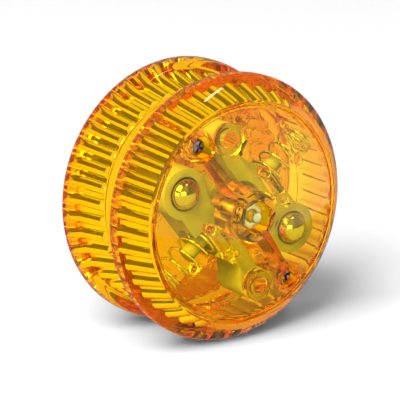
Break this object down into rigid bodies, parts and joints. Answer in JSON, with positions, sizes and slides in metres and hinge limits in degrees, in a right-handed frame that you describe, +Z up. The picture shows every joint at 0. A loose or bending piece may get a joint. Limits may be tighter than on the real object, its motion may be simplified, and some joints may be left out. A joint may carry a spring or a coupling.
{
  "type": "yo-yo",
  "caption": "Transparent amber yo-yo with two fluted halves on a steel axle and a centrifugal clutch with sprung arms and steel balls in the front half.",
  "frame": {"origin": "middle of the string gap, on the axle", "axes": "+Y along the axle from the clutch half towards the plain half, +Z up, +X to the right seen from the clutch side"},
  "size_m": [0.057, 0.039, 0.057],
  "materials": {
    "front_shell": "polished transparent amber moulding",
    "front_cap": "polished transparent amber moulding",
    "rear_shell": "polished transparent amber moulding",
    "rear_cap": "polished transparent amber moulding",
    "axle": "plain steel",
    "axle_nuts": "zinc-plated steel",
    "axle_sleeve": "plain steel",
    "string_spool": "natural nylon",
    "thrust_washers": "plain steel",
    "clutch_arms": "natural acetal",
    "weight_balls": "polished bearing steel",
    "clutch_springs": "drawn spring wire",
    "screws": "zinc-plated steel"
  },
  "bodies": {
    "halves": {"front_shell": "front_shell", "front_cap": "front_cap", "rear_shell": "rear_shell", "rear_cap": "rear_cap", "axle": "axle", "front_axle_nut": "axle_nuts", "rear_axle_nut": "axle_nuts", "axle_sleeve": "axle_sleeve", "front_thrust_washer": "thrust_washers", "rear_thrust_washer": "thrust_washers", "clutch_spring_upper": "clutch_springs", "clutch_spring_lower": "clutch_springs", "front_screw_upper": "screws", "front_screw_lower": "screws", "rear_screw_upper": "screws", "rear_screw_lower": "screws"},
    "spool": {"string_spool": "string_spool"},
    "upper_arm": {"clutch_arm_upper": "clutch_arms", "weight_ball_upper": "weight_balls"},
    "lower_arm": {"clutch_arm_lower": "clutch_arms", "weight_ball_lower": "weight_balls"}
  },
  "joints": [
    {"name": "spool_spin", "type": "hinge", "parent": "halves", "child": "spool", "pos_m": [0, 0, 0], "axis": [0, 1, 0], "continuous": true},
    {"name": "upper_arm_swing", "type": "hinge", "parent": "halves", "child": "upper_arm", "pos_m": [-0.00354, -0.0087, 0.01595], "axis": [0, -1, 0], "range_deg": [0, 6], "stiffness_Nm_per_rad": 0.02, "springref_deg": -8.59, "deforming": ["clutch_spring_upper"]},
    {"name": "lower_arm_swing", "type": "hinge", "parent": "halves", "child": "lower_arm", "pos_m": [0.00354, -0.0087, -0.01595], "axis": [0, -1, 0], "range_deg": [0, 6], "stiffness_Nm_per_rad": 0.02, "springref_deg": -8.59, "deforming": ["clutch_spring_lower"]}
  ]
}
